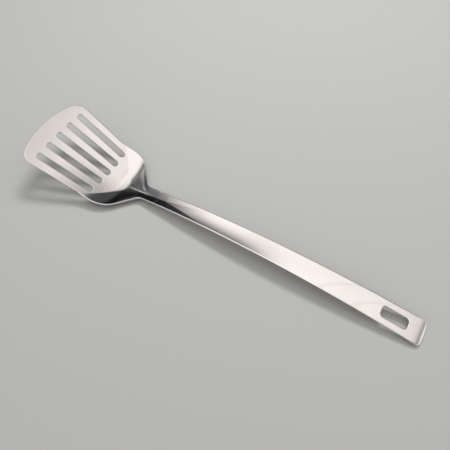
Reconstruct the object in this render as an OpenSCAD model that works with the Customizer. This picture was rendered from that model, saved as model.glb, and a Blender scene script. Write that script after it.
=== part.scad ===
/* [Overall] */
// Length from the blade's front edge to the handle's end
overall_l = 332; // [310:1:360]
// Thickness of the stainless sheet
sheet_t = 1.5; // [1:0.1:2]

/* [Blade] */
// Angle of the blade above the line from heel to handle end, degrees
blade_tilt = 24; // [18:0.2:28]
// Width of the blade where its straight sides would reach the front edge
blade_w = 73.8; // [68:0.2:84]
// Angle by which each side closes in toward the heel, degrees
side_angle = 6.8; // [5:0.1:9]
// Radius of the gently curved front edge
front_r = 92; // [80:1:160]
// Radius of the two front corners
front_corner_r = 11.5; // [6:0.5:15]

/* [Drain slots] */
// Number of slots
slot_n = 5; // [3, 5]
// Width of a slot
slot_w = 5.2; // [4:0.1:6.5]
// Length of the middle slot between the centres of its round ends
slot_l = 48.2; // [35:0.2:50]
// Distance between neighbouring slots at their front ends
slot_pitch = 12.6; // [10:0.1:13]
// Angle between neighbouring slots, degrees
slot_fan = 2.5; // [1:0.1:3]
// Distance from the front edge to the centre of the middle slot's front end
slot_front = 15.8; // [12:0.2:20]
// How much shorter the slot next to the middle one is, growing with the square further out
slot_shorter = 0.55; // [0:0.05:1]

/* [Heel] */
// Distance from the front edge to the lowest line of the heel
heel_x = 78; // [76:0.5:82]
// Radius of the sheet's upper face along the middle of the heel
heel_r = 20; // [14:1:24]
// Width between the two raised side rims of the heel
heel_w = 60.4; // [56:0.2:64]
// Distance from the front edge to the start of the rounded shoulders
shoulder_x = 63.5; // [60:0.5:67]
// Radius of the rounded shoulders
shoulder_r = 24; // [16:1:26]
// Steepest angle of the shoulder line toward the neck, degrees
shoulder_angle = 50; // [46:1:54]
// Distance from the lowest line of the heel to where the flat floor has narrowed to nothing
floor_end = 1.8; // [1.2:0.1:3]
// How the floor's edges curve in on the way there, 1 for straight
floor_power = 1.3; // [1:0.05:1.6]

/* [Neck] */
// Width of the neck
neck_w = 12.8; // [11:0.1:15]
// Radius between shoulder and neck
neck_fillet_r = 8; // [6:0.5:10]
// Slope of the neck's valley where it leaves the heel, degrees
neck_angle = 8; // [6:0.5:12]
// Distance from the front edge to the middle of the weld
seam_x = 110; // [106:0.5:114]
// Width of the dressed weld along the neck
weld_w = 2; // [1.5:0.1:3]
// Depth of the neck's valley at the weld
groove_depth = 1.6; // [1:0.1:2.2]
// Distance from the front edge to where the valley's floor starts to widen
groove_flat_x = 117; // [115:1:125]
// Distance from the front edge to where the valley has run out
groove_end_x = 162; // [150:1:175]
// Share of each valley wall that curves up from the floor
groove_soft = 0.12; // [0.1:0.01:0.4]

/* [Handle] */
// Height of the handle's upper face at the top of its arch
arch_h = 12.9; // [11:0.1:16]
// Distance from the front edge to the top of the arch
arch_x = 206; // [190:1:215]
// Width of the handle at its widest, before the end corners
handle_w = 20.2; // [17:0.2:24]
// Distance from the front edge to where the handle starts to widen
widen_x = 118; // [115:1:130]
// Radius of the handle's rounded end edge
end_r = 50; // [30:1:90]
// Radius of the handle's end corners
end_corner_r = 3.5; // [2:0.5:6]
// Length of the end that curls down
curl_l = 7; // [4:0.5:9]
// Slope of the sheet at the curled end, degrees
curl_angle = 36; // [25:1:45]

/* [Hanging hole] */
// Length of the hole
hole_l = 20; // [14:0.5:24]
// Width of the hole
hole_w = 8.8; // [6:0.2:10]
// Radius of the hole's corners
hole_r = 2.3; // [1.5:0.1:3]
// Distance from the handle's end to the middle of the hole
hole_end = 22.8; // [19:0.2:28]

/* [Hidden] */
$fn = 96;
step = 2;
handle_step = 4;
curl_step = 1;
slope_d = 0.02;
crown_n = 10;
corner_n = 8;
end_crown_n = 3;
end_corner_n = 5;
blade_cells = 2 * (crown_n + corner_n);
handle_cells = 2 * (end_crown_n + end_corner_n);
cut = 30;
steel = [0.86, 0.85, 0.84];
weld_steel = [0.72, 0.71, 0.70];

// Blade plane: its front edge, its tangent point on the heel and its slope
front_x = sheet_t * sin(blade_tilt);
tangent_x = heel_x - heel_r * sin(blade_tilt);
tangent_z = sheet_t + heel_r * (1 - cos(blade_tilt));
function plane_z(x) = tangent_z + tan(blade_tilt) * (tangent_x - x);
front_z = plane_z(front_x);
plate_l = (blade_w - heel_w) / 2 / tan(side_angle);
join_x = front_x + plate_l * cos(blade_tilt);

// Handle arch: a parabola through its top, and the height from which the end curls down to the ground
curl_share = curl_l / (overall_l - arch_x);
arch_end = (sheet_t * cos(curl_angle) + curl_l / 2 * tan(curl_angle) - curl_share * arch_h) / (1 - curl_share);
arch_k = (arch_h - arch_end) / pow(overall_l - arch_x, 2);
curl_slope = tan(curl_angle) - 2 * arch_k * (overall_l - arch_x);
function curl(x) = curl_slope * pow(max(x - overall_l + curl_l, 0), 2) / 2 / curl_l;
function arch(x) = arch_h - arch_k * pow(x - arch_x, 2) - curl(x);

// Side rims: the blade plane runs into the arch over one long bend
bend = plane_z(join_x) - arch(join_x);
function soft_max(a, b, w) = max(a, b) + pow(max(w - abs(a - b), 0), 2) / 4 / w;
function rim_z(x) = soft_max(plane_z(x), arch(x), bend);

// Middle line: blade plane, heel arc, valley of the neck, then the handle's arch
neck_x = heel_x + heel_r * sin(neck_angle);
neck_z = sheet_t + heel_r * (1 - cos(neck_angle));
fade_l = groove_end_x - seam_x;
function groove(x) = groove_depth * pow(max(groove_end_x - x, 0) / fade_l, 2);
seam_z = arch(seam_x) - groove_depth;
seam_slope = 2 * arch_k * (arch_x - seam_x) + 2 * groove_depth / fade_l;
valley_l = seam_x - neck_x;
function valley_z(s) =
    (2 * pow(s, 3) - 3 * pow(s, 2) + 1) * neck_z
    + (pow(s, 3) - 2 * pow(s, 2) + s) * valley_l * tan(neck_angle)
    + (3 * pow(s, 2) - 2 * pow(s, 3)) * seam_z
    + (pow(s, 3) - pow(s, 2)) * valley_l * seam_slope;
function heel_arc(x) = sheet_t + heel_r - sqrt(pow(heel_r, 2) - pow(x - heel_x, 2));
function middle_z(x) =
    x <= tangent_x ? plane_z(x) :
    x <= neck_x ? heel_arc(x) :
    x <= seam_x ? valley_z((x - neck_x) / valley_l) :
    arch(x) - groove(x);

// Outline: parallel heel, round shoulder, sloping line, fillet, neck, widening handle
shoulder_end_x = shoulder_x + shoulder_r * sin(shoulder_angle);
shoulder_end_y = heel_w / 2 - shoulder_r * (1 - cos(shoulder_angle));
fillet_y = neck_w / 2 + neck_fillet_r * (1 - cos(shoulder_angle));
fillet_x = shoulder_end_x + (shoulder_end_y - fillet_y) / tan(shoulder_angle);
neck_start_x = fillet_x + neck_fillet_r * sin(shoulder_angle);
widening = (handle_w - neck_w) / 2 / (overall_l - widen_x - end_corner_r);
function half_w(x) =
    x <= shoulder_x ? heel_w / 2 :
    x <= shoulder_end_x ? heel_w / 2 - shoulder_r + sqrt(pow(shoulder_r, 2) - pow(x - shoulder_x, 2)) :
    x <= fillet_x ? shoulder_end_y - tan(shoulder_angle) * (x - shoulder_end_x) :
    x <= neck_start_x ? neck_w / 2 + neck_fillet_r - sqrt(pow(neck_fillet_r, 2) - pow(neck_start_x - x, 2)) :
    neck_w / 2 + widening * max(x - widen_x, 0);

// Cross-section: a flat floor of this half width, with a soft-footed wall rising on each side
floor_end_x = heel_x + floor_end;
function floor_half(x) =
    x <= join_x ? half_w(x) :
    x <= floor_end_x ? half_w(join_x) * (1 - pow((x - join_x) / (floor_end_x - join_x), floor_power)) :
    x <= groove_flat_x ? 0 :
    half_w(x) * min((x - groove_flat_x) / (groove_end_x - groove_flat_x), 1);
function wall_h(x) = x <= seam_x ? rim_z(x) - middle_z(x) : groove(x);
function wall_share(s) =
    s <= 0 ? 0 :
    (s < groove_soft ? s * s / 2 / groove_soft : s - groove_soft / 2) / (1 - groove_soft / 2);
function wall_s(x, y) = (abs(y) - floor_half(x)) / max(half_w(x) - floor_half(x), slope_d);
function top_z(x, y) = middle_z(x) + wall_h(x) * wall_share(wall_s(x, y));

// Points of the sheet's upper and lower face
function slope_x(x, y) = (top_z(x, y) - top_z(x - slope_d, y)) / slope_d;
function slope_y(x, y) = (top_z(x, y + slope_d) - top_z(x, y - slope_d)) / 2 / slope_d;
function up(x, y) = let (v = [-slope_x(x, y), -slope_y(x, y), 1]) v / norm(v);
function top_point(x, y) = [x, y, top_z(x, y)];
function low_point(x, y) = top_point(x, y) - sheet_t * up(x, y);

// Evenly spaced stations from a to b
function stations(a, b, d) = let (n = ceil((b - a) / d)) [for (i = [0:n]) a + (b - a) * i / n];

// Rows of plan points: straight across at x, or along a rounded end given by its half from the middle out
function row(x, cells) = [for (j = [0:cells]) [x, half_w(x) * (2 * j / cells - 1)]];
function rows(a, b, d, cells) = [for (x = stations(a, b, d)) row(x, cells)];
function rounded_row(half) = concat(
    [for (i = [len(half) - 1:-1:1]) [half[i][0], -half[i][1]]],
    half
);
function between(a, b, share) = [for (j = [0:len(a) - 1]) a[j] * (1 - share) + b[j] * share];

// A piece of sheet through the given rows, which run toward the handle's end
module sheet(plan) {
    cells = len(plan[0]) - 1;
    line = cells + 1;
    n = len(plan);
    size = n * line;
    tops = [for (r = plan) for (p = r) top_point(p[0], p[1])];
    lows = [for (r = plan) for (p = r) low_point(p[0], p[1])];
    top_faces = [for (i = [0:n - 2]) for (j = [0:cells - 1]) for (k = [0, 1])
        let (a = i * line + j)
        k == 0 ? [a, a + 1, a + line] : [a + 1, a + line + 1, a + line]];
    low_faces = [for (f = top_faces) [f[2] + size, f[1] + size, f[0] + size]];
    right_faces = [for (i = [0:n - 2]) for (k = [0, 1])
        let (a = i * line, b = a + line)
        k == 0 ? [a, b, b + size] : [a, b + size, a + size]];
    left_faces = [for (i = [0:n - 2]) for (k = [0, 1])
        let (a = i * line + cells, b = a + line)
        k == 0 ? [b, a, a + size] : [b, a + size, b + size]];
    first_faces = [for (j = [0:cells - 1]) for (k = [0, 1])
        k == 0 ? [j + 1, j, j + size] : [j + 1, j + size, j + 1 + size]];
    last_faces = [for (j = [0:cells - 1]) for (k = [0, 1])
        let (a = (n - 1) * line + j)
        k == 0 ? [a, a + 1, a + 1 + size] : [a, a + 1 + size, a + size]];
    polyhedron(
        points = concat(tops, lows),
        faces = concat(top_faces, low_faces, right_faces, left_faces, first_faces, last_faces),
        convexity = 6
    );
}

// Front edge of the blade in its own plane, from its middle round the corner
side_cos = cos(side_angle);
side_sin = sin(side_angle);
inner_side = blade_w / 2 * side_cos - front_corner_r;
inner_front = front_r - front_corner_r;
corner_gap = inner_side - front_r * side_sin;
corner_turn = asin(corner_gap / inner_front) + side_angle;
corner_u = front_r - inner_front * cos(corner_turn);
corner_y = inner_front * sin(corner_turn);
crown_points = [for (i = [0:crown_n])
    let (a = corner_turn * i / crown_n)
    [front_r - front_r * cos(a), front_r * sin(a)]];
corner_points = [for (i = [1:corner_n])
    let (a = corner_turn + (90 - side_angle - corner_turn) * i / corner_n)
    [corner_u - front_corner_r * cos(a), corner_y + front_corner_r * sin(a)]];
front_half = [for (p = concat(crown_points, corner_points)) [front_x + p[0] * cos(blade_tilt), p[1]]];

module on_blade() {
    translate([front_x, 0, front_z])
        rotate([0, blade_tilt, 0])
            children();
}

fan_r = slot_pitch / 2 / sin(slot_fan / 2);
module slot(i) {
    cut_l = slot_l - slot_shorter * i * i;
    translate([slot_front + fan_r, 0])
        rotate(-slot_fan * i)
            translate([-fan_r, 0]) {
                circle(d = slot_w);
                translate([0, -slot_w / 2])
                    square([cut_l, slot_w]);
                translate([cut_l, 0])
                    circle(d = slot_w);
            }
}

module blade() {
    color(steel)
        difference() {
            sheet(concat(
                [rounded_row(front_half)],
                rows(join_x, seam_x - weld_w / 2, step, blade_cells)
            ));
            on_blade()
                for (i = [-(slot_n - 1) / 2:(slot_n - 1) / 2])
                    linear_extrude(height = cut, center = true)
                        slot(i);
        }
}

module neck_weld() {
    color(weld_steel)
        sheet(rows(seam_x - weld_w / 2, seam_x + weld_w / 2, weld_w / 2, blade_cells));
}

// End edge of the handle seen from above, from its middle round the corner
end_half = half_w(overall_l - end_corner_r);
end_turn = asin((end_half - end_corner_r) / (end_r - end_corner_r));
end_corner_x = overall_l - end_r + (end_r - end_corner_r) * cos(end_turn);
end_crown_points = [for (i = [0:end_crown_n])
    let (a = end_turn * i / end_crown_n)
    [overall_l - end_r + end_r * cos(a), end_r * sin(a)]];
end_corner_points = [for (i = [1:end_corner_n])
    let (a = end_turn + (90 - end_turn) * i / end_corner_n)
    [end_corner_x + end_corner_r * cos(a), end_half - end_corner_r + end_corner_r * sin(a)]];
end_row = rounded_row(concat(end_crown_points, end_corner_points));
curl_x = overall_l - curl_l;
curl_rows = [for (s = stations(0, 1, curl_step / curl_l))
    between(row(curl_x, handle_cells), end_row, s)];

hole_x = overall_l - hole_end;
module hole_shape() {
    square([hole_l, hole_w - 2 * hole_r], center = true);
    square([hole_l - 2 * hole_r, hole_w], center = true);
    for (x = [-1, 1])
        for (y = [-1, 1])
            translate([x * (hole_l / 2 - hole_r), y * (hole_w / 2 - hole_r)])
                circle(hole_r);
}

module handle() {
    color(steel)
        difference() {
            sheet(concat(
                rows(seam_x + weld_w / 2, groove_end_x, step + 1, handle_cells),
                [for (x = stations(groove_end_x, curl_x, handle_step)) if (x > groove_end_x && x < curl_x)
                    row(x, handle_cells)],
                curl_rows
            ));
            translate([hole_x, 0, arch(hole_x)])
                rotate([0, atan(2 * arch_k * (hole_x - arch_x)), 0])
                    linear_extrude(height = cut, center = true)
                        hole_shape();
        }
}

translate([-overall_l / 2, 0, 0]) blade();
translate([-overall_l / 2, 0, 0]) neck_weld();
translate([-overall_l / 2, 0, 0]) handle();
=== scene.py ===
"""Fish spatula: a slotted steel turner with an arched handle, on a plain pale floor."""
import math

import bmesh
import bpy
from mathutils import Matrix, Vector


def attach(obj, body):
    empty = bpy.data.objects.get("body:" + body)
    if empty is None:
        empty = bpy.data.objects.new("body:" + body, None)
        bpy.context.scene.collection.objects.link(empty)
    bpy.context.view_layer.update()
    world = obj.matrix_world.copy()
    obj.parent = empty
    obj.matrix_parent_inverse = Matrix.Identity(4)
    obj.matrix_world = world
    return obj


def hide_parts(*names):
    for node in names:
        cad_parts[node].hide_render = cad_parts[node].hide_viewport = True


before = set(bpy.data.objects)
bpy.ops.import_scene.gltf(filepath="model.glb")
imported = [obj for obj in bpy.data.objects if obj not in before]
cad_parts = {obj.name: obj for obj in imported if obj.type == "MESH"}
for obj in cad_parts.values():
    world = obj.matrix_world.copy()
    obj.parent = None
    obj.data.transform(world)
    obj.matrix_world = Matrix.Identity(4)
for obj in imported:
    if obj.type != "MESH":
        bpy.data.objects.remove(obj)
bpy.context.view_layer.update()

bl_info = {
    "name": "Fish Spatula",
    "version": (1, 0, 0),
    "blender": (4, 5, 0),
    "location": "View3D > Sidebar > Spatula",
    "description": "Builds a slotted steel turner and its plain studio stage",
    "category": "Object",
}

MM = 0.001
BODY = "root"


# Sizes and finishes that a user would change

def length(name, description, millimetres):
    """A length, given in millimetres and kept in metres."""
    return bpy.props.FloatProperty(name=name, description=description, default=millimetres * MM,
                                   min=0, unit="LENGTH", precision=5)


def angle(name, description, degrees):
    """An angle, given in degrees and kept in radians."""
    return bpy.props.FloatProperty(name=name, description=description,
                                   default=math.radians(degrees), subtype="ANGLE")


def share(name, description, value):
    """A plain number from 0 to 1."""
    return bpy.props.FloatProperty(name=name, description=description, default=value,
                                   min=0, max=1, subtype="FACTOR")


def number(name, description, value, least=0):
    """A plain number with a lower limit."""
    return bpy.props.FloatProperty(name=name, description=description, default=value, min=least)


def colour(name, description, value):
    """A linear colour."""
    return bpy.props.FloatVectorProperty(name=name, description=description, default=value,
                                         min=0, max=1, size=3, subtype="COLOR")


class SpatulaSizes(bpy.types.PropertyGroup):
    overall_l: length("Overall length", "From the blade's front edge to the handle's end", 332)
    sheet_t: length("Sheet thickness", "Thickness of the stainless sheet", 1.5)
    edge_round: length("Edge rounding", "Width of the polished rounding along the sheet's edges", 0.42)
    blade_tilt: angle("Blade tilt", "Angle of the blade above the line from heel to handle end", 24)
    blade_w: length("Blade width", "Width where the straight sides would reach the front edge", 73.8)
    side_angle: angle("Side angle", "Angle by which each side closes in toward the heel", 6.8)
    front_r: length("Front radius", "Radius of the gently curved front edge", 92)
    front_corner_r: length("Front corner radius", "Radius of the two front corners", 11.5)
    slot_n: bpy.props.IntProperty(name="Slots", description="Number of drain slots, an odd number",
                                  default=5, min=3, max=5, step=2)
    slot_w: length("Slot width", "Width of a slot", 5.2)
    slot_l: length("Slot length", "Between the centres of the middle slot's round ends", 48.2)
    slot_pitch: length("Slot pitch", "Between neighbouring slots at their front ends", 12.6)
    slot_fan: angle("Slot fan", "Angle between neighbouring slots", 2.5)
    slot_front: length("Slot front", "From the front edge to the centre of the middle slot's front end", 15.8)
    slot_shorter: length("Slot shortening", "How much shorter the slot next to the middle one is", 0.55)
    heel_x: length("Heel position", "From the front edge to the lowest line of the heel", 78)
    heel_r: length("Heel radius", "Radius of the upper face along the middle of the heel", 20)
    heel_w: length("Heel width", "Between the two raised side rims", 60.4)
    shoulder_x: length("Shoulder position", "From the front edge to the start of the shoulders", 63.5)
    shoulder_r: length("Shoulder radius", "Radius of the rounded shoulders", 24)
    shoulder_angle: angle("Shoulder angle", "Steepest angle of the shoulder line toward the neck", 50)
    floor_end: length("Floor end", "From the lowest line to where the flat floor ends", 1.8)
    floor_power: number("Floor power", "How the floor's edges curve in, 1 for straight", 1.3, 1)
    neck_w: length("Neck width", "Width of the neck", 12.8)
    neck_fillet_r: length("Neck fillet radius", "Radius between shoulder and neck", 8)
    neck_angle: angle("Neck angle", "Slope of the valley where it leaves the heel", 8)
    seam_x: length("Weld position", "From the front edge to the middle of the weld", 110)
    weld_w: length("Weld width", "Width of the dressed weld along the neck", 2)
    groove_depth: length("Valley depth", "Depth of the neck's valley at the weld", 1.6)
    groove_flat_x: length("Valley floor start", "From the front edge to where the valley's floor widens", 117)
    groove_end_x: length("Valley end", "From the front edge to where the valley has run out", 162)
    groove_soft: share("Wall softness", "Share of each wall that curves up from the floor", 0.12)
    arch_h: length("Arch height", "Height of the handle's upper face at the top of its arch", 12.9)
    arch_x: length("Arch position", "From the front edge to the top of the arch", 206)
    handle_w: length("Handle width", "Width of the handle before its end corners", 20.2)
    widen_x: length("Widening start", "From the front edge to where the handle widens", 118)
    end_r: length("End radius", "Radius of the rounded end edge", 50)
    end_corner_r: length("End corner radius", "Radius of the end corners", 3.5)
    curl_l: length("Curl length", "Length of the end that curls down", 7)
    curl_angle: angle("Curl angle", "Slope of the sheet at the curled end", 36)
    rim_lift: length("Heel rim lift", "How much higher the heel's rims stand at their highest", 1.2)
    dish: length("Heel dish", "How much the heel's floor rises 10 mm from its middle line", 0.3)
    wall_curve: number("Heel wall curve", "How the heel's walls curve up, 1 for straight", 1.75, 1)
    hollow: length("Handle hollow", "Depth of the long shallow hollow that follows the valley", 0.42)
    hole_l: length("Hole length", "Length of the hanging hole", 20)
    hole_w: length("Hole width", "Width of the hanging hole", 8.8)
    hole_r: length("Hole corner radius", "Radius of the hole's corners", 2.3)
    hole_end: length("Hole position", "From the handle's end to the middle of the hole", 22.8)


class SpatulaFinish(bpy.types.PropertyGroup):
    steel: colour("Steel", "Colour of the satin steel", (0.74, 0.697, 0.672))
    blade: colour("Blade", "Colour of the blade's satin steel", (0.68, 0.64, 0.618))
    edge: colour("Edge", "Colour of the polished edges", (0.88, 0.86, 0.84))
    weld: colour("Weld", "Colour of the dressed weld", (0.50, 0.475, 0.46))
    stain: colour("Stain", "Colour of dried water marks", (0.60, 0.57, 0.55))


class SpatulaStage(bpy.types.PropertyGroup):
    floor: colour("Floor", "Colour of the floor", (0.47, 0.47, 0.465))
    dome: number("Dome", "Brightness of the studio dome", 1.46)
    key: number("Key lamp", "Power of the key lamp in watts", 4.0)
    azimuth: angle("Camera azimuth", "Turn of the camera around the object", 29.74223)
    elevation: angle("Camera elevation", "Height of the camera above the floor", 57.53008)
    roll: angle("Camera roll", "Roll of the camera", 0.77868)
    distance: length("Camera distance", "From the camera to the middle of its view", 381.26646)
    target: bpy.props.FloatVectorProperty(name="Camera target", description="Middle of the camera's view",
                                          default=(1.07958 * MM, 8.89599 * MM, 0),
                                          subtype="TRANSLATION", unit="LENGTH")
    lens: number("Lens", "Focal length in millimetres on a 36 mm sensor", 38.4, 1)


# The sheet's form

NEAR = 0.02            # slopes are taken over this distance, and nearer places count as one
FLAT_END = 64.0        # the blade's plate is filled up to here, and laid in rows from here on
DISH_X = 75.0          # where the heel's floor is fully dished
DISH_Y = 10.0          # distance from the middle line at which its dish is measured
LIFT_X = 70.0          # where the heel's rims are lifted most
CURVE_START = 70.0     # where the heel's walls begin to curve
CURVE_X = 84.0         # where they are curved most
CURVE_END = 110.0      # where they are straight again
HOLLOW_START = 160.0   # where the handle's hollow is at its deepest
HOLLOW_END = 185.0     # where it begins to run out
HOLLOW_OUT = 240.0     # where it has run out


def ease(x, start, end):
    """Rises smoothly from 0 at start to 1 at end."""
    t = min(max((x - start) / (end - start), 0), 1)
    return t * t * (3 - 2 * t)


def stations(start, end, step):
    """Evenly spaced places from start to end."""
    n = max(1, math.ceil((end - start) / step))
    return [start + (end - start) * i / n for i in range(n + 1)]


class Form:
    """Heights and half widths along the turner, in millimetres from the blade's front edge."""

    def __init__(self, sizes):
        for name, prop in sizes.bl_rna.properties.items():
            if name in SpatulaSizes.__annotations__:
                value = getattr(sizes, name)
                setattr(self, name, value / MM if prop.unit == "LENGTH" else value)
        tilt = self.blade_tilt
        self.front_x = self.sheet_t * math.sin(tilt)
        self.tangent_x = self.heel_x - self.heel_r * math.sin(tilt)
        self.tangent_z = self.sheet_t + self.heel_r * (1 - math.cos(tilt))
        self.plate_l = (self.blade_w - self.heel_w) / 2 / math.tan(self.side_angle)
        self.join_x = self.front_x + self.plate_l * math.cos(tilt)
        self.curl_x = self.overall_l - self.curl_l
        curl_tan = math.tan(self.curl_angle)
        arch_l = self.overall_l - self.arch_x
        curl_share = self.curl_l / arch_l
        arch_end = (self.sheet_t * math.cos(self.curl_angle) + self.curl_l / 2 * curl_tan
                    - curl_share * self.arch_h) / (1 - curl_share)
        self.arch_k = (self.arch_h - arch_end) / arch_l ** 2
        self.curl_slope = curl_tan - 2 * self.arch_k * arch_l
        self.bend = self.plane(self.join_x) - self.arch(self.join_x)
        self.neck_x = self.heel_x + self.heel_r * math.sin(self.neck_angle)
        self.neck_z = self.sheet_t + self.heel_r * (1 - math.cos(self.neck_angle))
        self.fade_l = self.groove_end_x - self.seam_x
        self.seam_z = self.arch(self.seam_x) - self.groove_depth
        self.seam_slope = 2 * self.arch_k * (self.arch_x - self.seam_x) + 2 * self.groove_depth / self.fade_l
        sin_s, cos_s = math.sin(self.shoulder_angle), math.cos(self.shoulder_angle)
        self.shoulder_end_x = self.shoulder_x + self.shoulder_r * sin_s
        self.shoulder_end_y = self.heel_w / 2 - self.shoulder_r * (1 - cos_s)
        fillet_y = self.neck_w / 2 + self.neck_fillet_r * (1 - cos_s)
        self.fillet_x = self.shoulder_end_x + (self.shoulder_end_y - fillet_y) / math.tan(self.shoulder_angle)
        self.neck_start_x = self.fillet_x + self.neck_fillet_r * sin_s
        widening_l = self.overall_l - self.widen_x - self.end_corner_r
        self.widening = (self.handle_w - self.neck_w) / 2 / widening_l
        self.floor_end_x = self.heel_x + self.floor_end

    def plane(self, x):
        """Height of the blade's plane."""
        return self.tangent_z + math.tan(self.blade_tilt) * (self.tangent_x - x)

    def arch(self, x):
        """Height of the handle's arch with its curled end."""
        curl = self.curl_slope * max(x - self.curl_x, 0) ** 2 / 2 / self.curl_l
        return self.arch_h - self.arch_k * (x - self.arch_x) ** 2 - curl

    def rim(self, x):
        """Height of the side rims, where the blade's plane runs into the arch over one long bend."""
        plane, arch = self.plane(x), self.arch(x)
        lift = self.rim_lift * ease(x, self.join_x, LIFT_X) * ease(x, self.neck_start_x, LIFT_X)
        return max(plane, arch) + max(self.bend - abs(plane - arch), 0) ** 2 / 4 / self.bend + lift

    def groove(self, x):
        """Depth of the valley behind the weld."""
        return self.groove_depth * (max(self.groove_end_x - x, 0) / self.fade_l) ** 2

    def valley(self, x):
        """Height of the valley from the heel to the weld."""
        run = self.seam_x - self.neck_x
        s = (x - self.neck_x) / run
        return ((2 * s ** 3 - 3 * s ** 2 + 1) * self.neck_z
                + (s ** 3 - 2 * s ** 2 + s) * run * math.tan(self.neck_angle)
                + (3 * s ** 2 - 2 * s ** 3) * self.seam_z
                + (s ** 3 - s ** 2) * run * self.seam_slope)

    def middle(self, x):
        """Height along the middle line."""
        if x <= self.tangent_x:
            return self.plane(x)
        if x <= self.neck_x:
            return self.sheet_t + self.heel_r - math.sqrt(self.heel_r ** 2 - (x - self.heel_x) ** 2)
        if x <= self.seam_x:
            return self.valley(x)
        return self.arch(x) - self.groove(x)

    def half_w(self, x):
        """Half width behind the blade's straight sides."""
        if x <= self.shoulder_x:
            return self.heel_w / 2
        if x <= self.shoulder_end_x:
            return (self.heel_w / 2 - self.shoulder_r
                    + math.sqrt(self.shoulder_r ** 2 - (x - self.shoulder_x) ** 2))
        if x <= self.fillet_x:
            return self.shoulder_end_y - math.tan(self.shoulder_angle) * (x - self.shoulder_end_x)
        if x <= self.neck_start_x:
            return (self.neck_w / 2 + self.neck_fillet_r
                    - math.sqrt(self.neck_fillet_r ** 2 - (self.neck_start_x - x) ** 2))
        return self.neck_w / 2 + self.widening * max(x - self.widen_x, 0)

    def floor_half(self, x):
        """Half width of the flat floor between the walls."""
        if x <= self.join_x:
            return self.half_w(x)
        if x <= self.floor_end_x:
            s = (x - self.join_x) / (self.floor_end_x - self.join_x)
            return self.half_w(self.join_x) * (1 - s ** self.floor_power)
        if x <= self.groove_flat_x:
            return 0.0
        return self.half_w(x) * min((x - self.groove_flat_x) / (self.groove_end_x - self.groove_flat_x), 1)

    def top(self, x, y):
        """Height of the upper face."""
        middle, floor, half = self.middle(x), self.floor_half(x), self.half_w(x)
        away = min(abs(y), half)
        if x > self.seam_x:
            fade = ease(x, self.seam_x, HOLLOW_START) * ease(x, HOLLOW_OUT, HOLLOW_END)
            middle -= self.hollow * fade * (1 - (away / half) ** 2)
            foot, wall, roll = middle, self.groove(x), 0
        else:
            dish = self.dish * ease(x, FLAT_END, DISH_X) / DISH_Y ** 2
            foot = middle + dish * floor ** 2
            middle = min(middle + dish * away ** 2, foot)
            wall = self.rim(x) - foot
            roll = 2 * dish * floor * (half - floor)
        s = (away - floor) / max(half - floor, NEAR)
        if s <= 0:
            return middle
        soft = self.groove_soft
        climb = (s * s / 2 / soft if s < soft else s - soft / 2) / (1 - soft / 2)
        curve = 1 + (self.wall_curve - 1) * ease(x, CURVE_START, CURVE_X) * ease(x, CURVE_END, CURVE_X)
        return foot + wall * climb ** curve + roll * s * (1 - s) ** 2

    def up(self, x, y):
        """Direction out of the upper face."""
        slope_x = (self.top(x, y) - self.top(x - NEAR, y)) / NEAR
        slope_y = (self.top(x, y + NEAR) - self.top(x, y - NEAR)) / 2 / NEAR
        return Vector((-slope_x, -slope_y, 1)).normalized()


# The sheet's mesh

RIM = 0.9              # width of the row of cells along each edge
ROW = 0.6              # length of a row of cells
MERGE = 0.0005         # points nearer than this are one point
FLOOR_COLUMNS = 12     # cells across half the floor
WALL_COLUMNS = 16      # cells across a wall
WALL_CROWDING = 1.6    # crowds the wall's columns toward its foot
HOLE_START = 293.0     # the handle is laid in rows up to here, and filled round its hole from here on
ARC_STEPS = 14         # cells along a quarter of a slot's round end, and along a front corner
FRONT_STEPS = 24       # cells along half the front edge
SLOT_STEPS = 16        # cells along a slot's side
END_STEPS = 8          # cells along half the end edge
CORNER_STEPS = 10      # cells along an end corner
HOLE_STEPS = (4, 8, 20)    # cells along half the hole's short side, a corner and the long side
EDGE_SEGMENTS = 3      # cells across the rounding of an edge
EDGE_MATERIAL = 1      # the polished edge's place among a piece's materials


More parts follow.
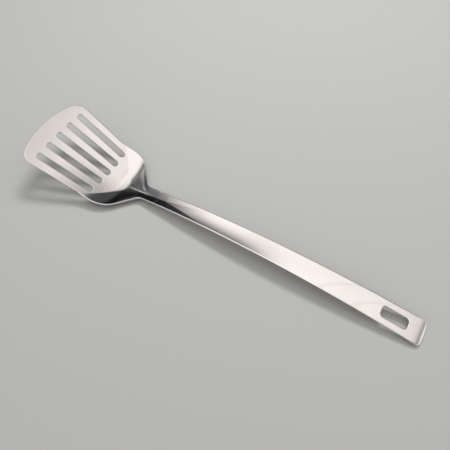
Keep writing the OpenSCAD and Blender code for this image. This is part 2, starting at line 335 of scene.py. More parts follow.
class Sheet:
    """A piece of sheet: half its plan is laid flat, then mirrored, pressed to the form and thickened."""

    def __init__(self, form):
        self.form = form
        self.bm = bmesh.new()
        self.inner = self.bm.verts.layers.int.new("inner")

    def foot(self, x):
        """Half width of the floor, kept clear of the rim."""
        return min(self.form.floor_half(x), self.form.half_w(x) - RIM)

    def lay_rows(self, places, floor=True, rim_only=False, inner_row=False, inner_foot=False,
                 inner_last=False):
        """Rows of cells across the half plan: the flat floor, the wall beside it and the rim.

        The inner flags mark the points where the filled part joins on: those of the first row up to the
        wall's foot, those of the first column, or those of the last row but for the edge.
        """
        shares = [(j / FLOOR_COLUMNS, 0, 0) for j in range(FLOOR_COLUMNS)] if floor else []
        if not rim_only:
            shares += [(1, (j / WALL_COLUMNS) ** WALL_CROWDING, 0) for j in range(WALL_COLUMNS)]
        first_wall = FLOOR_COLUMNS if floor else 0
        shares += [(1, 1, 0), (1, 1, 1)]
        grid = bmesh.ops.create_grid(self.bm, x_segments=len(places) - 1, y_segments=len(shares) - 1, size=1)
        for v in grid["verts"]:
            i = round((v.co.x + 1) / 2 * (len(places) - 1))
            j = round((v.co.y + 1) / 2 * (len(shares) - 1))
            x = places[i]
            floor_s, wall_s, rim_s = shares[j]
            foot, half = self.foot(x), self.form.half_w(x)
            v.co = (x, foot * floor_s + (half - RIM - foot) * wall_s + RIM * rim_s, 0)
            on_first = inner_row and i == 0 and j <= first_wall
            on_last = inner_last and i == len(places) - 1 and j < len(shares) - 1
            v[self.inner] = int(on_first or on_last or (inner_foot and j == 0))

    def edge(self, a, b):
        """A short edge whose second end touches the filled part."""
        first, second = self.bm.verts.new(a), self.bm.verts.new(b)
        second[self.inner] = 1
        return [self.bm.edges.new((first, second))]

    def turn(self, edges, centre, degrees, steps=ARC_STEPS):
        """Spins the edge round a centre and returns its last place."""
        geom = list(edges) + [v for e in edges for v in e.verts]
        spun = bmesh.ops.spin(self.bm, geom=geom, cent=centre, axis=(0, 0, 1), angle=math.radians(degrees),
                              steps=steps, use_merge=False, use_duplicate=False)
        return [e for e in spun["geom_last"] if isinstance(e, bmesh.types.BMEdge)]

    def run(self, edges, vector, steps=1):
        """Extrudes the edge along a straight line and returns its last place."""
        for _ in range(steps):
            out = bmesh.ops.extrude_edge_only(self.bm, edges=edges)["geom"]
            verts = [v for v in out if isinstance(v, bmesh.types.BMVert)]
            bmesh.ops.translate(self.bm, verts=verts, vec=Vector(vector) / steps)
            edges = [e for e in out if isinstance(e, bmesh.types.BMEdge)
                     and all(v in verts for v in e.verts)]
        return edges

    def line(self, a, b):
        """A bare edge along the middle line."""
        ends = [self.bm.verts.new(a), self.bm.verts.new(b)]
        for v in ends:
            v[self.inner] = 1
        self.bm.edges.new(ends)

    def fill(self):
        """Fills the plan between the inner edges of all rows and rims."""
        bm, inner = self.bm, self.inner
        bounds = [e for e in bm.edges if e.is_boundary and all(v[inner] for v in e.verts)]
        bmesh.ops.duplicate(bm, geom=bounds)
        wires = [v for v in bm.verts if any(e.is_wire for e in v.link_edges)]
        bmesh.ops.remove_doubles(bm, verts=wires, dist=MERGE)
        outline = [e for e in bm.edges if e.is_wire]
        bmesh.ops.triangle_fill(bm, edges=outline, use_beauty=True, use_dissolve=False, normal=(0, 0, 1))
        bmesh.ops.remove_doubles(bm, verts=bm.verts[:], dist=MERGE)

    def inner_places(self, start, end):
        """Where along the turner the points of the inner edges stand, between start and end."""
        places = sorted(v.co.x for v in self.bm.verts if v[self.inner] and start < v.co.x < end)
        return [x for i, x in enumerate(places) if i == 0 or x - places[i - 1] > NEAR]

    def slice(self, places):
        """Cuts the filled part across, so that it can bend."""
        bm = self.bm
        faces = [f for f in bm.faces if all(v[self.inner] for v in f.verts)]
        for x in places:
            geom = list(dict.fromkeys(g for f in faces for g in (*f.edges, *f.verts))) + faces
            cut = bmesh.ops.bisect_plane(bm, geom=geom, dist=MERGE, plane_co=(x, 0, 0), plane_no=(1, 0, 0))
            faces = [g for g in cut["geom"] if isinstance(g, bmesh.types.BMFace)]

    def finish(self, name, ends):
        """Mirrors, presses and thickens the plan, rounds its edges but for those at the given ends, where
        another piece begins, and returns the object."""
        bm, form = self.bm, self.form
        bmesh.ops.remove_doubles(bm, verts=bm.verts[:], dist=MERGE)
        bmesh.ops.dissolve_degenerate(bm, edges=bm.edges[:], dist=MERGE)
        bmesh.ops.mirror(bm, geom=bm.verts[:] + bm.edges[:] + bm.faces[:], axis="Y", merge_dist=MERGE)
        bmesh.ops.remove_doubles(bm, verts=bm.verts[:], dist=MERGE)
        bmesh.ops.recalc_face_normals(bm, faces=bm.faces[:])
        if bm.faces[0].normal.z < 0:
            bmesh.ops.reverse_faces(bm, faces=bm.faces[:])
        bm.verts.layers.float_vector.new("plan")
        lower = bm.verts.layers.int.new("lower")
        plan = bm.verts.layers.float_vector["plan"]
        for v in bm.verts:
            v[plan] = v.co.copy()
            v.co.z = form.top(v.co.x, v.co.y)
        out = bmesh.ops.extrude_face_region(bm, geom=bm.faces[:], use_keep_orig=True)["geom"]
        for v in [g for g in out if isinstance(g, bmesh.types.BMVert)]:
            v[lower] = 1
            v.co -= form.up(v[plan].x, v[plan].y) * form.sheet_t
        bmesh.ops.recalc_face_normals(bm, faces=bm.faces[:])
        for f in bm.faces:
            f.smooth = True
        rims = []
        walls = {f for f in bm.faces if len({v[lower] for v in f.verts}) == 2}
        for e in bm.edges:
            if len({f in walls for f in e.link_faces}) == 2:
                at_end = any(all(abs(v[plan].x - x) < NEAR for v in e.verts) for x in ends)
                e.smooth = not at_end
                if not at_end:
                    rims.append(e)
        geom = rims + list(dict.fromkeys(v for e in rims for v in e.verts))
        rounded = bmesh.ops.bevel(bm, geom=geom, offset=form.edge_round, offset_type="OFFSET",
                                  profile_type="SUPERELLIPSE", segments=EDGE_SEGMENTS, profile=0.5,
                                  affect="EDGES", clamp_overlap=False, material=-1, loop_slide=True)
        for f in rounded["faces"]:
            f.material_index = EDGE_MATERIAL
        bmesh.ops.translate(bm, verts=bm.verts[:], vec=(-form.overall_l / 2, 0, 0))
        bmesh.ops.scale(bm, verts=bm.verts[:], vec=(MM, MM, MM))
        mesh = bpy.data.meshes.new(name)
        bm.to_mesh(mesh)
        bm.free()
        piece = bpy.data.objects.new(name, mesh)
        bpy.context.scene.collection.objects.link(piece)
        return piece


# The pieces

def make_blade(form):
    """The slotted head, its scooped heel and the front half of the neck."""
    tilt_cos = math.cos(form.blade_tilt)
    side = math.degrees(form.side_angle)
    corner_gap = (form.blade_w / 2 * math.cos(form.side_angle) - form.front_corner_r
                  - form.front_r * math.sin(form.side_angle))
    reach = form.front_r - form.front_corner_r
    turn = math.degrees(math.asin(corner_gap / reach)) + side
    corner_x = form.front_r - reach * math.cos(math.radians(turn))
    corner = (corner_x, reach * math.sin(math.radians(turn)), 0)

    sheet = Sheet(form)
    rim = sheet.edge((0, 0, 0), (RIM, 0, 0))
    rim = sheet.turn(rim, (form.front_r, 0, 0), -turn, FRONT_STEPS)
    rim = sheet.turn(rim, corner, turn + side - 90)
    last = sheet.run(rim, (form.plate_l, 0, 0))[0].verts
    for v in last:
        v.co = (form.plate_l, form.heel_w / 2 - RIM * v[sheet.inner], 0)

    slot_r = form.slot_w / 2
    fan_r = form.slot_pitch / 2 / math.sin(form.slot_fan / 2)
    pole = Vector((form.slot_front + fan_r, 0, 0))
    for i in range(form.slot_n // 2 + 1):
        cut_l = form.slot_l - form.slot_shorter * i * i
        before = set(sheet.bm.verts)
        start = Vector((form.slot_front, 0, 0))
        end = start + Vector((cut_l, 0, 0))
        rim = sheet.edge(start - Vector((slot_r, 0, 0)), start - Vector((slot_r + RIM, 0, 0)))
        rim = sheet.turn(rim, start, -90)
        rim = sheet.run(rim, (cut_l, 0, 0), SLOT_STEPS)
        rim = sheet.turn(rim, end, -90)
        if i:
            rim = sheet.turn(rim, end, -90)
            rim = sheet.run(rim, (-cut_l, 0, 0), SLOT_STEPS)
            sheet.turn(rim, start, -90)
        slot = [v for v in sheet.bm.verts if v not in before]
        bmesh.ops.rotate(sheet.bm, verts=slot, cent=pole, matrix=Matrix.Rotation(-form.slot_fan * i, 3, "Z"))
    sheet.line((RIM, 0, 0), (form.slot_front - slot_r - RIM, 0, 0))
    bmesh.ops.scale(sheet.bm, verts=sheet.bm.verts[:], vec=(tilt_cos, 1, 1))
    bmesh.ops.translate(sheet.bm, verts=sheet.bm.verts[:], vec=(form.front_x, 0, 0))
    slot_end = form.front_x + (form.slot_front + form.slot_l + slot_r + RIM) * tilt_cos
    sheet.line((slot_end, 0, 0), (FLAT_END, 0, 0))

    seam = form.seam_x - form.weld_w / 2
    sheet.lay_rows(stations(form.join_x, FLAT_END, ROW), floor=False, inner_foot=True)
    rows = stations(FLAT_END, form.floor_end_x, ROW) + stations(form.floor_end_x, seam, ROW)[1:]
    sheet.lay_rows(rows, inner_row=True)
    sheet.fill()
    return sheet.finish("blade_sheet", [seam])


def make_weld(form):
    """The dressed weld across the neck."""
    sheet = Sheet(form)
    ends = [form.seam_x - form.weld_w / 2, form.seam_x + form.weld_w / 2]
    sheet.lay_rows(stations(*ends, ROW))
    return sheet.finish("weld_band", ends)


def make_handle(form):
    """The long arched strip with its hanging hole and curled end."""
    sheet = Sheet(form)
    seam = form.seam_x + form.weld_w / 2
    half = form.half_w(form.overall_l - form.end_corner_r)
    reach = form.end_r - form.end_corner_r
    turn = math.degrees(math.asin((half - form.end_corner_r) / reach))
    corner_x = form.overall_l - form.end_r + reach * math.cos(math.radians(turn))
    corner = (corner_x, half - form.end_corner_r, 0)
    rows = (stations(seam, form.groove_flat_x, ROW)
            + stations(form.groove_flat_x, form.groove_end_x, ROW)[1:]
            + stations(form.groove_end_x, HOLE_START, 2 * ROW)[1:])
    sheet.lay_rows(rows, inner_last=True)
    end_rows = stations(HOLE_START, corner_x, ROW)
    sheet.lay_rows(end_rows, floor=False, rim_only=True, inner_foot=True)

    rim = sheet.edge((form.overall_l, 0, 0), (form.overall_l - RIM, 0, 0))
    rim = sheet.turn(rim, (form.overall_l - form.end_r, 0, 0), turn, END_STEPS)
    last = sheet.turn(rim, corner, 90 - turn, CORNER_STEPS)[0].verts
    for v in last:
        v.co = (corner_x, form.half_w(corner_x) - RIM * v[sheet.inner], 0)

    hole_x = form.overall_l - form.hole_end
    lean_cos = math.cos(math.atan(2 * form.arch_k * (hole_x - form.arch_x)))
    hole_l = form.hole_l * lean_cos
    flat_x, flat_y = hole_l / 2 - form.hole_r, form.hole_w / 2 - form.hole_r
    short, round_corner, long = HOLE_STEPS
    rim = sheet.edge((hole_x - hole_l / 2, 0, 0), (hole_x - hole_l / 2 - RIM, 0, 0))
    rim = sheet.run(rim, (0, flat_y, 0), short)
    rim = sheet.turn(rim, (hole_x - flat_x, flat_y, 0), -90, round_corner)
    rim = sheet.run(rim, (2 * flat_x, 0, 0), long)
    rim = sheet.turn(rim, (hole_x + flat_x, flat_y, 0), -90, round_corner)
    sheet.run(rim, (0, -flat_y, 0), short)
    sheet.line((HOLE_START, 0, 0), (hole_x - hole_l / 2 - RIM, 0, 0))
    sheet.line((hole_x + hole_l / 2 + RIM, 0, 0), (form.overall_l - RIM, 0, 0))
    sheet.fill()
    sheet.slice(end_rows[2:-1:2] + sheet.inner_places(end_rows[-2], form.overall_l - 2 * RIM))
    return sheet.finish("handle_strip", [seam])


# Shader nodes

def node(tree, kind, inputs=None, **settings):
    """A shader node with its settings; each input takes a plain value or another node's output."""
    made = tree.nodes.new(kind)
    for name, value in settings.items():
        setattr(made, name, value)
    for name, value in (inputs or {}).items():
        if isinstance(value, bpy.types.NodeSocket):
            tree.links.new(value, made.inputs[name])
        else:
            made.inputs[name].default_value = value
    return made


def maths(tree, operation, *sources):
    """The sources joined by one sum."""
    return node(tree, "ShaderNodeMath", dict(enumerate(sources)), operation=operation).outputs[0]


def times(tree, first, *others):
    """The product of the sources."""
    for other in others:
        first = maths(tree, "MULTIPLY", first, other)
    return first


def most(tree, first, *others):
    """The greatest of the sources."""
    for other in others:
        first = maths(tree, "MAXIMUM", first, other)
    return first


def rest(tree, source):
    """What the source leaves of one."""
    return maths(tree, "SUBTRACT", 1.0, source)


def ramp(tree, source, start, end, low=0.0, high=1.0, kind="LINEAR"):
    """A value that runs from low to high as the source goes from start to end."""
    values = {"Value": source, "From Min": start, "From Max": end, "To Min": low, "To Max": high}
    return node(tree, "ShaderNodeMapRange", values, interpolation_type=kind).outputs[0]


def smooth(tree, source, start, end, low, high):
    """The same, but easing in and out."""
    return ramp(tree, source, start, end, low, high, "SMOOTHSTEP")


def mix(tree, factor, first, second):
    """A colour mixed from two."""
    return node(tree, "ShaderNodeMix", {0: factor, 6: first, 7: second}, data_type="RGBA").outputs[2]


def shade(tone, factor=1.0):
    """The colour with its brightness changed, for a colour input."""
    return tuple(min(1.0, c * factor) for c in tone) + (1,)


def noise(tree, vector, scale=1.0, detail=2.0, roughness=0.5, distortion=0.0):
    """The value of a noise texture."""
    values = {"Vector": vector, "Scale": scale, "Detail": detail, "Roughness": roughness,
              "Distortion": distortion}
    return node(tree, "ShaderNodeTexNoise", values).outputs[0]


def stretch(tree, vector, factors):
    """The vector with each of its parts multiplied by a factor."""
    return node(tree, "ShaderNodeVectorMath", {0: vector, 1: factors}, operation="MULTIPLY").outputs[0]


def split(tree, vector):
    """The vector's x, y and z."""
    return node(tree, "ShaderNodeSeparateXYZ", {0: vector}).outputs


def here(tree):
    """The place on the object, in metres."""
    return node(tree, "ShaderNodeTexCoord").outputs["Object"]


def new_group(name, inputs, outputs=("Mask",)):
    """Starts a node group, and returns it with what it is given and the places for its results."""
    group = bpy.data.node_groups.new(name, "ShaderNodeTree")
    for label, default in inputs.items():
        kind = "NodeSocketFloat" if isinstance(default, float) else "NodeSocketVector"
        made = group.interface.new_socket(name=label, in_out="INPUT", socket_type=kind)
        made.default_value = default
    for label in outputs:
        group.interface.new_socket(name=label, in_out="OUTPUT", socket_type="NodeSocketFloat")
    return group, node(group, "NodeGroupInput").outputs, node(group, "NodeGroupOutput").inputs


# Materials

# Places are in metres from the turner's middle. A fade gives where it starts and ends, and its two values.
# Painted shade: darker zones on the blade, and darker painted reflection streaks on the handle.
FRONT_PAINTED_SHADE = (-0.168, -0.128, 1.0, 0.0)    # along the turner: painted shade darkens the front edge
HEEL_PAINTED_SHADE_X = (-0.145, -0.100, 0.0, 1.0)   # along the turner: painted shade on the heel too
HEEL_PAINTED_SHADE_Y = (0.004, -0.020, 0.0, 1.0)    # across the turner: but only on its near side
PAINTED_STREAKS_X = (0.0971, 0.1235)               # where the painted reflection streaks cross the handle's middle line
PAINTED_STREAK_LEAN = 1.48                         # how far a streak runs along for each step across
PAINTED_STREAK_BOW = 55.0                          # how much this lean grows for each metre across
PAINTED_STREAK_FADE = (0.0, 0.004, 1.0, 0.0)       # away from the middle of a streak
CREASE_START = (-0.088, -0.083, 0.0, 1.0)  # along the turner: the painted crease highlight begins
CREASE_END = (-0.072, -0.062, 1.0, 0.0)    # along the turner: the painted crease highlight ends
CREASE_FADE = (0.0002, 0.0008, 1.0, 0.0)   # away from the middle of the crease

PAINTED_SHADE_LEVEL = 0.5           # brightness of the painted shade zones and painted reflection streaks
SCRATCHED = 1.15       # brightness of a scratch
WORN_ROUGH = 0.08      # roughness that a wiped patch adds
CREASE_HIGHLIGHT_ROUGH = 0.35    # roughness that the painted crease highlight adds
RELIEF = 0.00002       # height of the brushed lines in metres

SATIN = {"rough": (0.16, 0.21), "lines": 1500, "bump": 0.15, "patchiness": 0.08}
POLISHED = {"rough": (0.10, 0.14), "lines": 2600, "bump": 0.05, "patchiness": 0.05}
DRESSED = {"rough": (0.22, 0.30), "lines": 2200, "bump": 0.30, "patchiness": 0.30}


def grain_group():
    """Fine brushed lines that run along the turner, as a height and a mask."""
    group, given, result = new_group("Brushed grain", {"Lines per metre": 1400.0, "Stretch": 0.02},
                                     ("Height", "Mask"))
    lines = given["Lines per metre"]
    along = times(group, lines, given["Stretch"])
    scale = node(group, "ShaderNodeCombineXYZ", {"X": along, "Y": lines, "Z": lines}).outputs[0]
    fine = noise(group, stretch(group, here(group), scale), detail=3.0, roughness=0.65)
    group.links.new(fine, result["Height"])
    group.links.new(ramp(group, fine, 0.35, 0.65), result["Mask"])
    return group


def scratch_group():
    """Sparse hair scratches left by use, as a mask."""
    group, given, result = new_group("Hair scratches", {"Turn": (0, 0, 0.35), "Amount": 0.5})
    turned = node(group, "ShaderNodeMapping", {"Vector": here(group), "Rotation": given["Turn"]}).outputs[0]
    lines = noise(group, stretch(group, turned, (35, 1500, 40)), detail=1.0, distortion=0.4)
    patches = noise(group, here(group), scale=60.0, detail=1.0)
    thin, some = ramp(group, lines, 0.66, 0.72), ramp(group, patches, 0.45, 0.6)
    group.links.new(times(group, thin, some, given["Amount"]), result["Mask"])
    return group


def cloud_group():
    """Broad uneven patches of wiping and dried water, as a mask."""
    group, given, result = new_group("Wiped patches", {"Scale": 45.0})
    spread = stretch(group, here(group), (0.45, 1, 1))
    cloud = noise(group, spread, given["Scale"], detail=4.0, roughness=0.55, distortion=0.3)
    group.links.new(ramp(group, cloud, 0.42, 0.68), result["Mask"])
    return group


def painted_shade_group():
    """Painted shade at the blade's front edge and on the near side of its heel, and two darker painted
    reflection streaks that run aslant over the handle, as a mask."""
    group, given, result = new_group("Dulled zones", {"Front": 0.5, "Heel": 0.5, "Streaks": 0.5})
    x, y, _ = split(group, here(group))
    front = times(group, smooth(group, x, *FRONT_PAINTED_SHADE), given["Front"])
    heel = times(group, smooth(group, x, *HEEL_PAINTED_SHADE_X), smooth(group, y, *HEEL_PAINTED_SHADE_Y), given["Heel"])
    lean = maths(group, "MULTIPLY_ADD", y, PAINTED_STREAK_BOW, PAINTED_STREAK_LEAN)
    aslant = maths(group, "SUBTRACT", x, times(group, lean, y))
    streaks = []
    for middle in PAINTED_STREAKS_X:
        away = maths(group, "ABSOLUTE", maths(group, "SUBTRACT", aslant, middle))
        streaks.append(times(group, smooth(group, away, *PAINTED_STREAK_FADE), given["Streaks"]))
    group.links.new(most(group, front, heel, *streaks), result["Mask"])
    return group


def painted_crease_highlight_group():
    """A painted highlight along the valley crease where the heel's walls meet: a thin, brighter and rougher
    line, as a mask.
    """
    group, given, result = new_group("Ground crease", {"Amount": 1.0})
    x, y, _ = split(group, here(group))
    across = smooth(group, maths(group, "ABSOLUTE", y), *CREASE_FADE)
    along = times(group, smooth(group, x, *CREASE_START), smooth(group, x, *CREASE_END))
    group.links.new(times(group, across, along, given["Amount"]), result["Mask"])
    return group


def steel_material(name, groups, base, rough, lines, bump, patchiness, zones=(0, 0, 0), crease=0):
    """A metal finish with brushed lines, scratches, wiped patches, painted shade zones and a painted crease
    highlight.
    """
    look = bpy.context.scene.spatula_finish
    mat = bpy.data.materials.new(name)
    mat.use_nodes = True
    tree = mat.node_tree
    parts = {key: node(tree, "ShaderNodeGroup", node_tree=group) for key, group in groups.items()}
    parts["grain"].inputs["Lines per metre"].default_value = lines
    parts["crease"].inputs["Amount"].default_value = crease
    for zone, strength in zip(("Front", "Heel", "Streaks"), zones):
        parts["zone"].inputs[zone].default_value = strength
    masks = {key: part.outputs["Mask"] for key, part in parts.items()}
    worn = times(tree, masks["cloud"], patchiness)
    tint = mix(tree, worn, shade(base), shade(look.stain))
    # painted shade: the zones and the painted reflection streaks darken the colour
    tint = mix(tree, masks["zone"], tint, shade(base, PAINTED_SHADE_LEVEL))
    tint = mix(tree, masks["scratch"], tint, shade(base, SCRATCHED))
    # painted highlight: the crease line is brightened toward the edge colour
    tint = mix(tree, masks["crease"], tint, shade(look.edge))
    roughness = ramp(tree, masks["grain"], 0, 1, *rough)
    roughness = maths(tree, "MULTIPLY_ADD", worn, WORN_ROUGH, roughness)
    roughness = maths(tree, "MULTIPLY_ADD", masks["crease"], CREASE_HIGHLIGHT_ROUGH, roughness)
    height = parts["grain"].outputs["Height"]
    relief = node(tree, "ShaderNodeBump", {"Height": height, "Strength": bump, "Distance": RELIEF})
    shader = tree.nodes["Principled BSDF"]
    shader.inputs["Metallic"].default_value = 1.0
    tree.links.new(tint, shader.inputs["Base Color"])
    tree.links.new(roughness, shader.inputs["Roughness"])
    tree.links.new(relief.outputs[0], shader.inputs["Normal"])
    return mat


def finishes():
    """The scene's materials; the object's own are made when they are first asked for."""
    if "satin_steel" not in bpy.data.materials:
        look = bpy.context.scene.spatula_finish
        groups = {"grain": grain_group(), "scratch": scratch_group(), "cloud": cloud_group(),
                  "zone": painted_shade_group(), "crease": painted_crease_highlight_group()}
        # the handle gets painted reflection streaks; the blade gets painted shade at its front and heel, and
        # a painted crease highlight
        steel_material("satin_steel", groups, look.steel, **SATIN, zones=(0, 0, 0.16))
        steel_material("blade_steel", groups, look.blade, **SATIN, zones=(0.50, 0.90, 0), crease=1.0)
        steel_material("polished_edge", groups, look.edge, **POLISHED)
        steel_material("dressed_weld", groups, look.weld, **DRESSED)
    return bpy.data.materials


# Building the pieces

def dress(piece, finish, node_name):
    """Gives the piece its finish and its polished edge, and ties it to the frame."""
    for name in (finish, "polished_edge"):
        piece.data.materials.append(finishes()[name])
    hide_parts(node_name)
    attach(piece, BODY)


class BuildBlade(bpy.types.Operator):
    """Build the slotted head with its heel and neck"""
    bl_idname = "spatula.build_blade"
    bl_label = "Blade"

    def execute(self, context):
        dress(make_blade(Form(context.scene.spatula_sizes)), "blade_steel", "blade")
        return {"FINISHED"}


class BuildWeld(bpy.types.Operator):
    """Build the dressed weld across the neck"""
    bl_idname = "spatula.build_weld"
    bl_label = "Neck weld"

    def execute(self, context):
        dress(make_weld(Form(context.scene.spatula_sizes)), "dressed_weld", "neck_weld")
        return {"FINISHED"}


class BuildHandle(bpy.types.Operator):
    """Build the arched handle with its hanging hole"""
    bl_idname = "spatula.build_handle"
    bl_label = "Handle"

    def execute(self, context):
        dress(make_handle(Form(context.scene.spatula_sizes)), "satin_steel", "handle")
        return {"FINISHED"}


# Stage

# The dome's glow depends on the direction's x, y, z and slant, which is y for each z. Each line names the
# one it goes by, and gives where the change starts and ends, and its two values.
LEAST_Z = 0.05                         # low directions count as this high for their slant
FAR = (0.50, 1.02, 1.0, 0.0)           # slant: dark low down beyond the object
FAR_SKEW = (-0.15, -0.28, 0.0, 0.1)    # x: added to the slant, so that the dark begins higher on the left
FAR_RIGHT = (0.25, 0.5, 0.0, 1.0)      # x: no dark beyond on the right
FAR_GLOW = (-0.50, -0.36, 0.0, 0.10)   # x: a faint glow in the dark, but for the left
LEFT_X = (-0.38, -0.67, 0.0, 0.94)     # x: dark on the left
LEFT_Y = (-0.45, -0.12, 0.0, 1.0)      # y: but not toward the camera
RIGHT = (0.22, 0.55, 1.0, 0.62)        # x: dimmer on the right
RIGHT_OUT = (0.55, 0.85, 1.0, 0.4)     # x: and more so further out
STRIP_X = -0.21                        # x of a dim strip's middle
STRIP = (0.0, 0.12, 0.78, 1.0)         # distance from the strip's middle in x
STRIP_END = (0.45, 0.30, 0.0, 1.0)     # slant: the strip stops short of overhead
NEAR_SIDE = (0.0, -0.5, 1.0, 0.6)      # y: dimmer toward the camera
ABOVE_X = (0.02, 0.12, 0.0, 1.0)       # x: dimmer where the blade reflects
ABOVE = (0.60, 0.32, 0.0, 0.26)        # slant: and more so overhead
LOW_X = (0.70, 0.85, 0.0, 0.9)         # x: a bright strip on the right
LOW_Z = (0.38, 0.22, 0.0, 1.0)         # z: only low down
PATCH_STRETCH = (1, 1.6, 0)            # a small bright patch on the left is longer than it is wide
PATCH_AT = (-0.74, 0.168, 0)           # the patch's middle, stretched so
PATCH = (0.03, 0.10, 0.8, 0.0)         # distance from the patch's middle
LEAST_GLOW = 0.01                      # glow of the dark parts
BACKDROP = 0.8                         # glow that the camera sees behind the floor
WARM = (1.0, 0.985, 0.975, 1)          # colour of the bright parts
COOL = (0.86, 0.95, 1.05, 1)           # colour of the dark parts
COOL_BELOW = (0.0, 0.7, 1.0, 0.0)      # glow: cool in the dark parts, warm in the bright ones

KEY_SIZE = (0.35, 0.2)                 # metres
KEY_AT = (-0.15, 0.50, 0.75)           # metres from the object's middle
FLOOR_HALF = 40                        # metres, so that the floor's border lies at the horizon
MOTTLE = 0.015                         # how far the floor's brightness strays either way


def key_lamp(look):
    """A soft lamp above the far side, which lays the object's shadow toward the camera."""
    lamp = bpy.data.lights.new("key_lamp", "AREA")
    lamp.shape = "RECTANGLE"
    lamp.size, lamp.size_y = KEY_SIZE
    lamp.energy = look.key
    obj = bpy.data.objects.new("key_lamp", lamp)
    bpy.context.scene.collection.objects.link(obj)
    obj.visible_glossy = False
    obj.location = KEY_AT
    obj.rotation_euler = (-Vector(KEY_AT)).to_track_quat("-Z", "Y").to_euler()


def make_world(look):
    """A studio dome: bright overhead, dark low down beyond the object and on the left."""
    world = bpy.data.worlds.new("studio")
    world.use_nodes = True
    tree = world.node_tree
    direction = node(tree, "ShaderNodeTexCoord").outputs["Generated"]
    x, y, z = split(tree, direction)
    slant = maths(tree, "DIVIDE", y, maths(tree, "MAXIMUM", z, LEAST_Z))
    skewed = maths(tree, "ADD", slant, smooth(tree, x, *FAR_SKEW))
    beyond = most(tree, smooth(tree, skewed, *FAR), smooth(tree, x, *FAR_RIGHT), smooth(tree, x, *FAR_GLOW))
    left = times(tree, smooth(tree, x, *LEFT_X), smooth(tree, y, *LEFT_Y))
    right = times(tree, smooth(tree, x, *RIGHT), smooth(tree, x, *RIGHT_OUT))
    off = maths(tree, "ABSOLUTE", maths(tree, "SUBTRACT", x, STRIP_X))
    strip = most(tree, smooth(tree, off, *STRIP), smooth(tree, slant, *STRIP_END))
    above = times(tree, smooth(tree, x, *ABOVE_X), smooth(tree, slant, *ABOVE))
    glow = times(tree, beyond, rest(tree, left), right, strip)
    glow = times(tree, glow, smooth(tree, y, *NEAR_SIDE), rest(tree, above))
    low = times(tree, smooth(tree, x, *LOW_X), smooth(tree, z, *LOW_Z))
    away = node(tree, "ShaderNodeVectorMath", {0: stretch(tree, direction, PATCH_STRETCH), 1: PATCH_AT},
                operation="DISTANCE").outputs["Value"]
    glow = most(tree, glow, low, smooth(tree, away, *PATCH))
    glow = maths(tree, "MULTIPLY_ADD", glow, look.dome, LEAST_GLOW)
    seen = node(tree, "ShaderNodeLightPath").outputs["Is Camera Ray"]
    level = node(tree, "ShaderNodeMix", {0: seen, 2: glow, 3: BACKDROP}).outputs[0]
    cool = times(tree, smooth(tree, glow, *COOL_BELOW), rest(tree, seen))
    back = tree.nodes["Background"]
    tree.links.new(level, back.inputs["Strength"])
    tree.links.new(mix(tree, cool, WARM, COOL), back.inputs["Color"])
    bpy.context.scene.world = world


def make_floor(look):
    """A plain matt floor with a faint mottle."""
    bm = bmesh.new()
    bmesh.ops.create_grid(bm, x_segments=2, y_segments=2, size=FLOOR_HALF)
    mesh = bpy.data.meshes.new("floor")
    bm.to_mesh(mesh)
    bm.free()
    floor = bpy.data.objects.new("floor", mesh)
    bpy.context.scene.collection.objects.link(floor)
    mat = bpy.data.materials.new("floor_paper")
    mat.use_nodes = True
    tree = mat.node_tree
    mottle = noise(tree, here(tree), scale=900.0)
    tone = mix(tree, mottle, shade(look.floor, 1 - MOTTLE), shade(look.floor, 1 + MOTTLE))
    shader = tree.nodes["Principled BSDF"]
    shader.inputs["Roughness"].default_value = 0.75
    shader.inputs["Specular IOR Level"].default_value = 0.2
    tree.links.new(tone, shader.inputs["Base Color"])
    mesh.materials.append(mat)


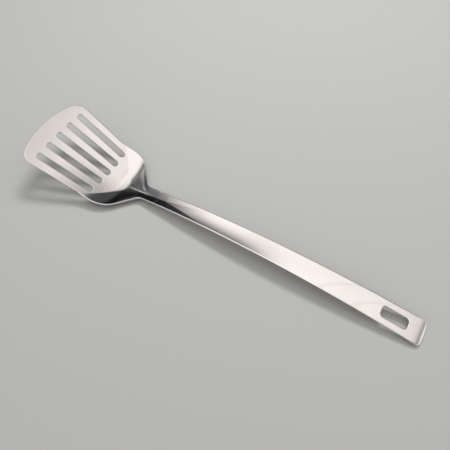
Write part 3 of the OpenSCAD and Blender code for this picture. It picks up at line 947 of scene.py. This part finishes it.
def make_camera(look):
    """The camera, at the photograph's viewing angle."""
    turn, rise, roll = look.azimuth, look.elevation, look.roll
    back = Vector((math.sin(turn) * math.cos(rise), -math.cos(turn) * math.cos(rise), math.sin(rise)))
    right = Vector((math.cos(turn), math.sin(turn), 0))
    up = back.cross(right)
    rolled_right = right * math.cos(roll) + up * math.sin(roll)
    rolled_up = up * math.cos(roll) - right * math.sin(roll)
    data = bpy.data.cameras.new("camera")
    data.lens = look.lens
    data.sensor_width = 36
    data.clip_start = 0.01
    camera = bpy.data.objects.new("camera", data)
    bpy.context.scene.collection.objects.link(camera)
    place = Matrix((rolled_right, rolled_up, back)).transposed().to_4x4()
    place.translation = Vector(look.target) + back * look.distance
    camera.matrix_world = place
    bpy.context.scene.camera = camera


class BuildStage(bpy.types.Operator):
    """Build the camera, the floor, the dome and the key lamp"""
    bl_idname = "spatula.build_stage"
    bl_label = "Stage"

    def execute(self, context):
        look = context.scene.spatula_stage
        context.scene.view_settings.view_transform = "Standard"
        make_camera(look)
        make_floor(look)
        make_world(look)
        key_lamp(look)
        return {"FINISHED"}


# Panel and registration

class SpatulaPanel(bpy.types.Panel):
    """Lists the operators, sizes and finishes in the sidebar"""
    bl_idname = "VIEW3D_PT_spatula"
    bl_label = "Fish Spatula"
    bl_space_type = "VIEW_3D"
    bl_region_type = "UI"
    bl_category = "Spatula"

    def draw(self, context):
        scene = context.scene
        for operator in OPERATORS:
            self.layout.operator(operator.bl_idname)
        groups = {"Sizes": scene.spatula_sizes, "Finish": scene.spatula_finish,
                  "Stage": scene.spatula_stage}
        for title, group in groups.items():
            box = self.layout.box()
            box.label(text=title)
            for name in type(group).__annotations__:
                box.prop(group, name)


OPERATORS = (BuildStage, BuildBlade, BuildWeld, BuildHandle)
CLASSES = (SpatulaSizes, SpatulaFinish, SpatulaStage) + OPERATORS + (SpatulaPanel,)


def register():
    for cls in CLASSES:
        bpy.utils.register_class(cls)
    bpy.types.Scene.spatula_sizes = bpy.props.PointerProperty(type=SpatulaSizes)
    bpy.types.Scene.spatula_finish = bpy.props.PointerProperty(type=SpatulaFinish)
    bpy.types.Scene.spatula_stage = bpy.props.PointerProperty(type=SpatulaStage)


def unregister():
    del bpy.types.Scene.spatula_stage
    del bpy.types.Scene.spatula_finish
    del bpy.types.Scene.spatula_sizes
    for cls in reversed(CLASSES):
        bpy.utils.unregister_class(cls)


def main():
    register()
    bpy.ops.spatula.build_stage()
    bpy.ops.spatula.build_blade()
    bpy.ops.spatula.build_weld()
    bpy.ops.spatula.build_handle()


if __name__ == "__main__":
    main()
